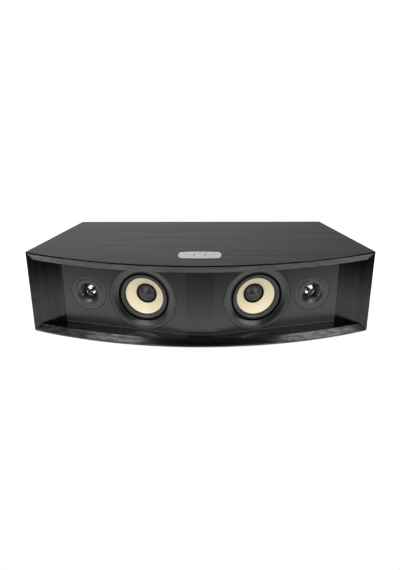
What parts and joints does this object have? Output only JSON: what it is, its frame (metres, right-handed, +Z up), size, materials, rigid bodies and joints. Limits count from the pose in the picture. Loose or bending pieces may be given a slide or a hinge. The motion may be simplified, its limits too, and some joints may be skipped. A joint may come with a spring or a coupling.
{
  "type": "wireless speaker",
  "caption": "Wide tabletop wireless speaker in black ash veneer, with a bowed front, a recessed faceted baffle with woofers and tweeters, and a touch control on top.",
  "frame": {"origin": "middle of the footprint, on the surface that the rubber feet stand on", "axes": "+X to the listener's right hand side of the front, +Y to the back, +Z up"},
  "size_m": [0.65, 0.234, 0.1695],
  "materials": {
    "ash_veneer": "black stained ash veneer, satin",
    "back_paint": "black painted fibreboard, matt",
    "baffle_paint": "dark grey painted fibreboard, satin",
    "bare_board": "bare fibreboard",
    "foot_rubber": "matt",
    "seal_foam": "foam",
    "black_steel": "black powder coat",
    "socket_plastic": "black moulded",
    "contact_metal": "plated",
    "circuit_board": "green solder mask",
    "sink_metal": "anodised",
    "touch_rim": "satin",
    "touch_face": "satin silver",
    "port_plastic": "black moulded",
    "trim_plastic": "dark grey satin",
    "surround_rubber": "matt",
    "cone_fibre": "cream woven fibre, glazed",
    "cap_plastic": "matt",
    "coil_metal": "enamelled winding",
    "spider_cloth": "treated cloth",
    "motor_steel": "zinc plated",
    "ferrite": "ground",
    "waveguide_plastic": "black satin",
    "dome_metal": "polished",
    "guard_plastic": "black moulded"
  },
  "bodies": {
    "cabinet": {"amplifier_board": "circuit_board", "aux_jack": "socket_plastic", "back_panel": "back_paint", "bottom_panel": "ash_veneer", "centre_brace": "bare_board", "front_baffle": "baffle_paint", "heat_sink": "sink_metal", "inlet_pins": "contact_metal", "left_port_tube": "port_plastic", "left_side_panel": "ash_veneer", "left_tweeter_diaphragm": "dome_metal", "left_tweeter_faceplate": "waveguide_plastic", "left_tweeter_guard": "guard_plastic", "left_tweeter_magnet": "ferrite", "left_tweeter_top_plate": "motor_steel", "left_tweeter_yoke": "motor_steel", "left_wing_panel": "ash_veneer", "left_woofer_basket": "black_steel", "left_woofer_magnet": "ferrite", "left_woofer_spider": "spider_cloth", "left_woofer_surround": "surround_rubber", "left_woofer_top_plate": "motor_steel", "left_woofer_trim_ring": "trim_plastic", "left_woofer_yoke": "motor_steel", "mains_inlet": "socket_plastic", "power_board": "circuit_board", "rear_plate": "black_steel", "rear_plate_screws": "black_steel", "right_port_tube": "port_plastic", "right_side_panel": "ash_veneer", "right_tweeter_diaphragm": "dome_metal", "right_tweeter_faceplate": "waveguide_plastic", "right_tweeter_guard": "guard_plastic", "right_tweeter_magnet": "ferrite", "right_tweeter_top_plate": "motor_steel", "right_tweeter_yoke": "motor_steel", "right_wing_panel": "ash_veneer", "right_woofer_basket": "black_steel", "right_woofer_magnet": "ferrite", "right_woofer_spider": "spider_cloth", "right_woofer_surround": "surround_rubber", "right_woofer_top_plate": "motor_steel", "right_woofer_trim_ring": "trim_plastic", "right_woofer_yoke": "motor_steel", "rubber_feet": "foot_rubber", "switch_housing": "socket_plastic", "top_panel": "ash_veneer", "touch_board": "circuit_board", "touch_panel": "touch_face", "touch_plate": "touch_rim", "woofer_gaskets": "seal_foam", "woofer_screws": "black_steel"},
    "left_cone": {"left_woofer_cone": "cone_fibre", "left_woofer_dust_cap": "cap_plastic", "left_woofer_voice_coil": "coil_metal"},
    "right_cone": {"right_woofer_cone": "cone_fibre", "right_woofer_dust_cap": "cap_plastic", "right_woofer_voice_coil": "coil_metal"},
    "rocker": {"power_rocker": "socket_plastic"}
  },
  "joints": [
    {"name": "left_cone_stroke", "type": "slide", "parent": "cabinet", "child": "left_cone", "axis": [-0.2346, -0.9721, 0], "range_m": [-0.004, 0.004], "stiffness_N_per_m": 900, "deforming": ["left_woofer_surround", "left_woofer_spider"]},
    {"name": "right_cone_stroke", "type": "slide", "parent": "cabinet", "child": "right_cone", "axis": [0.2346, -0.9721, 0], "range_m": [-0.004, 0.004], "stiffness_N_per_m": 900, "deforming": ["right_woofer_surround", "right_woofer_spider"]},
    {"name": "rocker_tilt", "type": "hinge", "parent": "cabinet", "child": "rocker", "pos_m": [0, 0.1105, 0.086], "axis": [1, 0, 0], "range_deg": [0, 16]}
  ]
}
